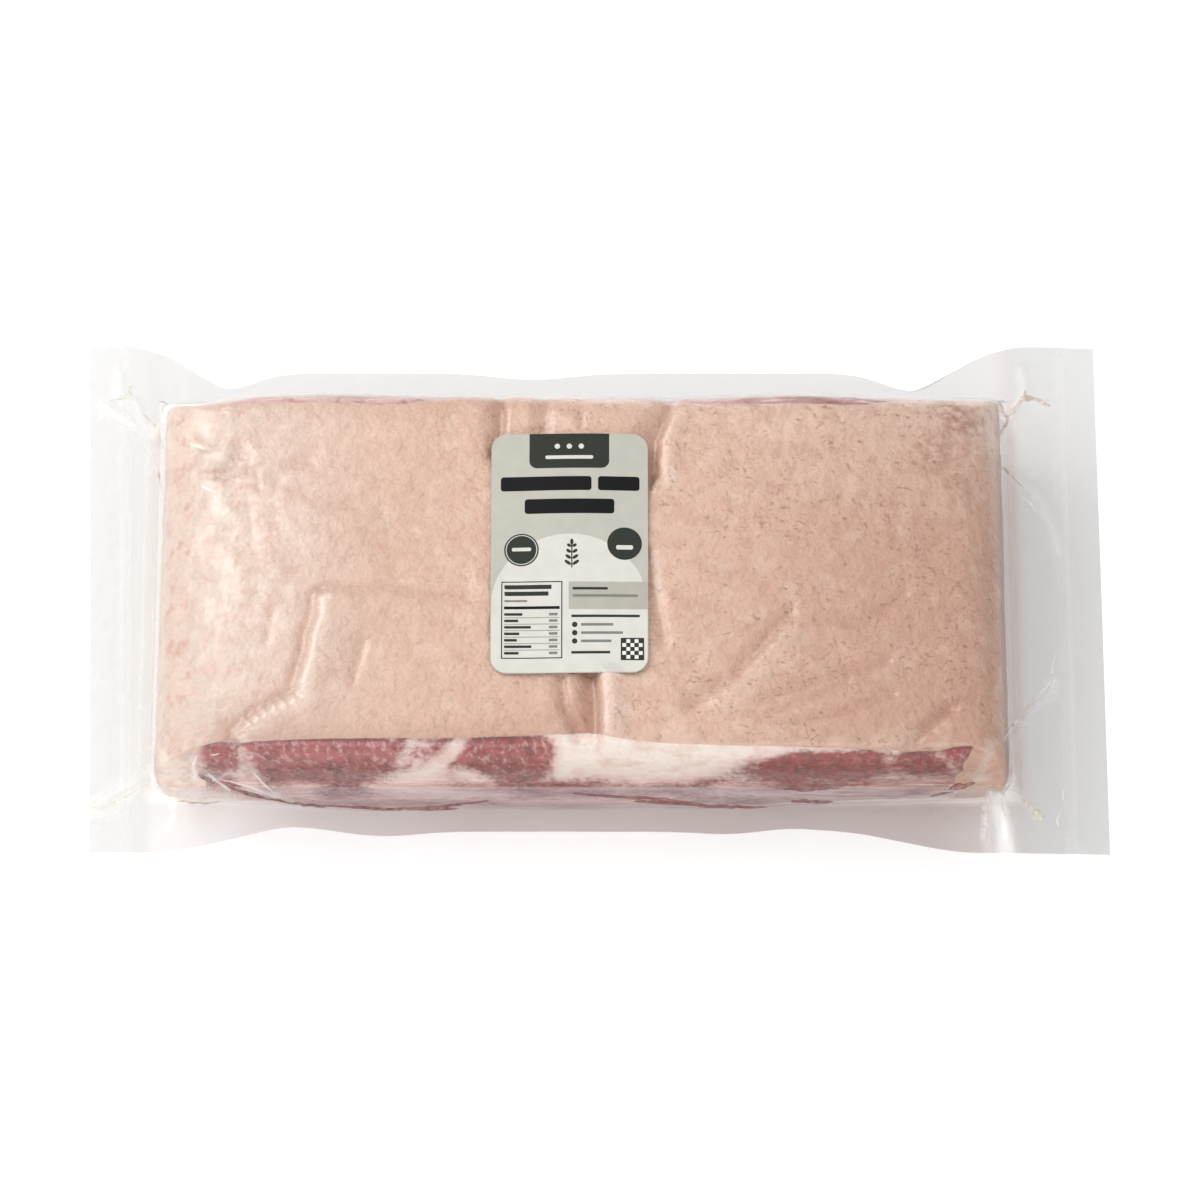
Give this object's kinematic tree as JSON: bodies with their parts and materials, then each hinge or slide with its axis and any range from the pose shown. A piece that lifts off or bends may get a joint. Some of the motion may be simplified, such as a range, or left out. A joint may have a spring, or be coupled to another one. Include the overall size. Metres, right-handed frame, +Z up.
{
  "type": "vacuum-packed slab of pork fat",
  "caption": "Flat slab of pork back fat with rind on top, shut tight in a clear vacuum pouch with a flange all round and a paper label on top.",
  "frame": {"origin": "on the surface it rests on, under the middle of the pouch's outline", "axes": "+X along the slab's length towards the pouch's right end, +Y towards the back, away from the side that shows the cut flesh, +Z up through the rind"},
  "size_m": [0.342, 0.1872, 0.057],
  "materials": {
    "pork_in_film": "peach rind with soft lumps under tight clear film, satin gloss",
    "label_paper": "smooth matt paper, light grey green"
  },
  "bodies": {
    "root": {"sealed_pouch": "pork_in_film", "label": "label_paper"}
  },
  "joints": []
}
